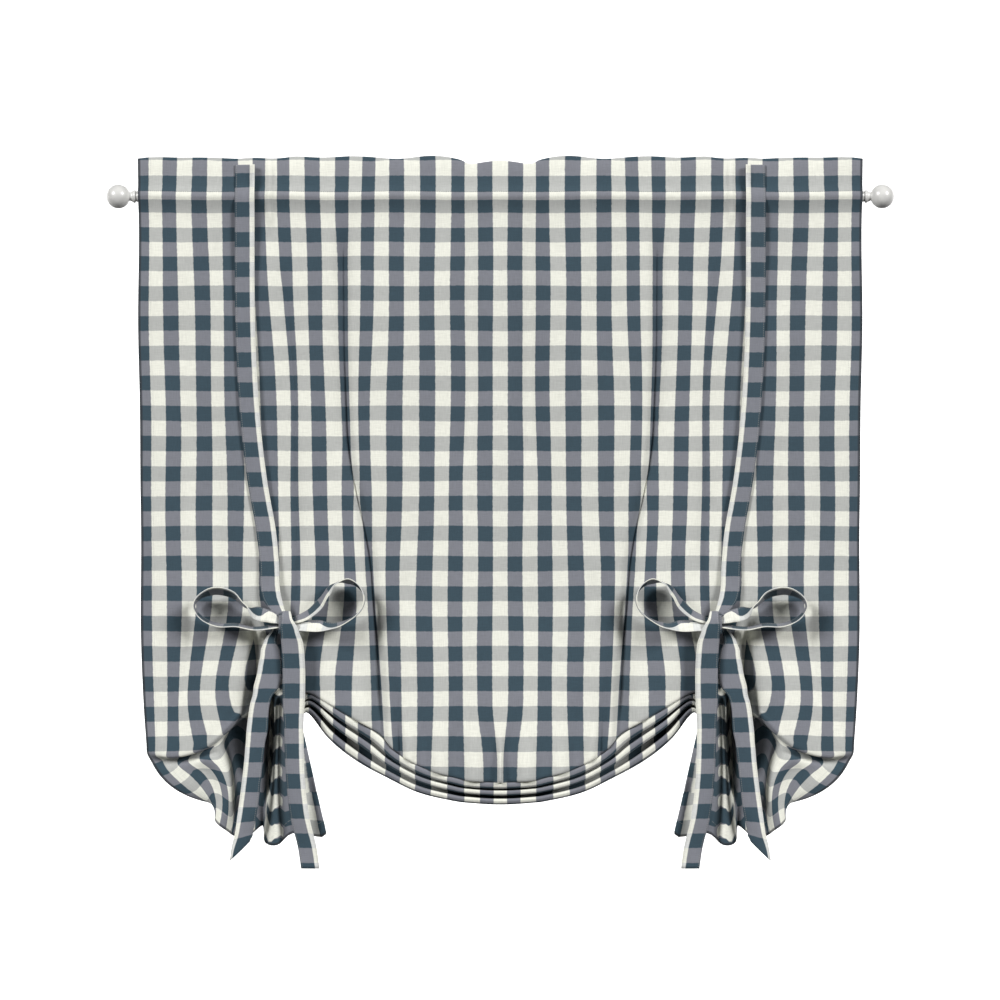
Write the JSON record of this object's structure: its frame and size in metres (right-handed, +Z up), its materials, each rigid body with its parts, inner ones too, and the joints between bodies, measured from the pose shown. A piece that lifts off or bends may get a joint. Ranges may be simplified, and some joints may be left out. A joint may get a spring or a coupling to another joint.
{
  "type": "tie-up shade on a curtain rod",
  "caption": "Gingham window shade on a curtain rod through its pocket, gathered by a tied bow towards each side, so that the hem falls in a swag, scalloped wings and pleats.",
  "frame": {"origin": "middle of the rod's axis", "axes": "+X along the rod to the right as seen from the room, +Y towards the window, +Z up"},
  "size_m": [1.1552, 0.0852, 1.0428],
  "materials": {
    "gingham": "matte",
    "white_paint": "satin"
  },
  "bodies": {
    "root": {"panel": "gingham", "tie_right": "gingham", "tie_left": "gingham", "rod": "white_paint", "finial_right": "white_paint", "finial_left": "white_paint"}
  },
  "joints": []
}
